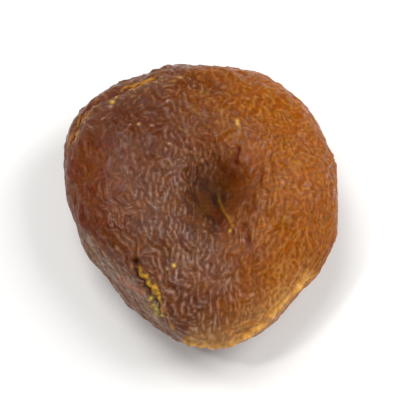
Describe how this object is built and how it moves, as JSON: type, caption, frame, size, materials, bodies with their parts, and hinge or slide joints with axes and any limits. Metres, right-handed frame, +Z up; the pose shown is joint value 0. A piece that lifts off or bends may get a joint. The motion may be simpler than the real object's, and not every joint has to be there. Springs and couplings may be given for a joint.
{
  "type": "dried apricot",
  "caption": "Whole dried apricot with the stone squeezed out: a flattened, finely wrinkled fruit with a dimple on top, a flattened flank and a short tear.",
  "frame": {"origin": "middle of the fruit's bounding box, on the surface that it lies on (the level of its flat spot)", "axes": "+Z up through the dimpled side; +Y from the stem end to the far end; +X to the plump orange cheek"},
  "size_m": [0.036, 0.0392, 0.0142],
  "materials": {
    "dried_skin": "finely wrinkled, slightly waxy, amber to red-brown"
  },
  "bodies": {
    "root": {"apricot": "dried_skin"}
  },
  "joints": []
}
